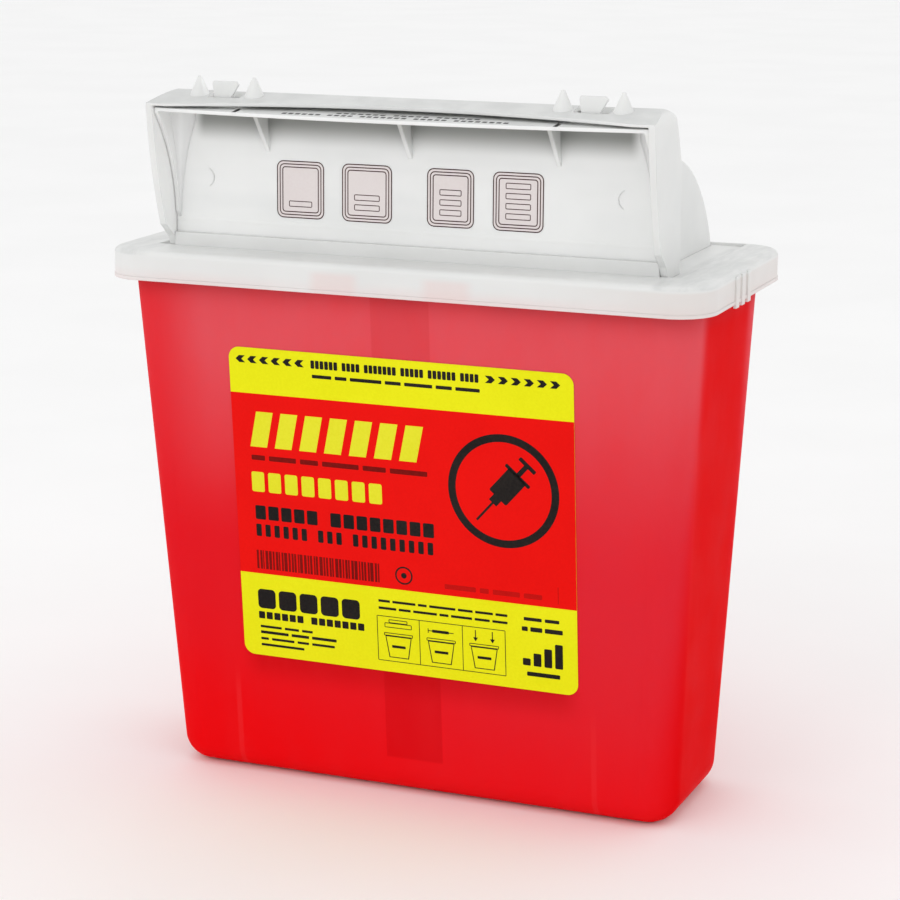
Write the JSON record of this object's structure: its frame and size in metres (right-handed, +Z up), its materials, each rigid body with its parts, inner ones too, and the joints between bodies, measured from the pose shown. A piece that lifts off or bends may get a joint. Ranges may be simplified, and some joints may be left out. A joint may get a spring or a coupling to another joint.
{
  "type": "sharps container",
  "caption": "Slim upright sharps container with a translucent red tapered body, a white press-on lid, a swing-down drop tray under a half-drum hood, and press-down lock tabs.",
  "frame": {"origin": "middle of the container's base, on the surface it stands on", "axes": "+Z up, -Y is the front with the label and the drop tray, +X is to the right seen from the front"},
  "size_m": [0.274, 0.1206, 0.3139],
  "materials": {
    "red_shell": "satin, translucent",
    "white_lid": "satin, slightly translucent",
    "white_hood": "satin, slightly translucent",
    "white_frame": "satin, slightly translucent",
    "white_tray": "satin, slightly translucent",
    "white_tab": "satin, slightly translucent",
    "label": "printed film, red field with yellow bands"
  },
  "bodies": {
    "container": {"container_body": "red_shell", "lid_cap": "white_lid", "hood": "white_hood", "closure_frame": "white_frame", "front_label": "label"},
    "tray": {"drop_tray": "white_tray"},
    "left_tab": {"lock_tab_left": "white_tab"},
    "right_tab": {"lock_tab_right": "white_tab"}
  },
  "joints": [
    {"name": "tray_swing", "type": "hinge", "parent": "container", "child": "tray", "pos_m": [0, -0.0345, 0.2515], "axis": [1, 0, 0], "range_deg": [0, 60]},
    {"name": "left_tab_press", "type": "hinge", "parent": "container", "child": "left_tab", "pos_m": [-0.083, -0.045, 0.3047], "axis": [-1, 0, 0], "range_deg": [0, 140]},
    {"name": "right_tab_press", "type": "hinge", "parent": "container", "child": "right_tab", "pos_m": [0.082, -0.045, 0.3047], "axis": [-1, 0, 0], "range_deg": [0, 140]}
  ]
}
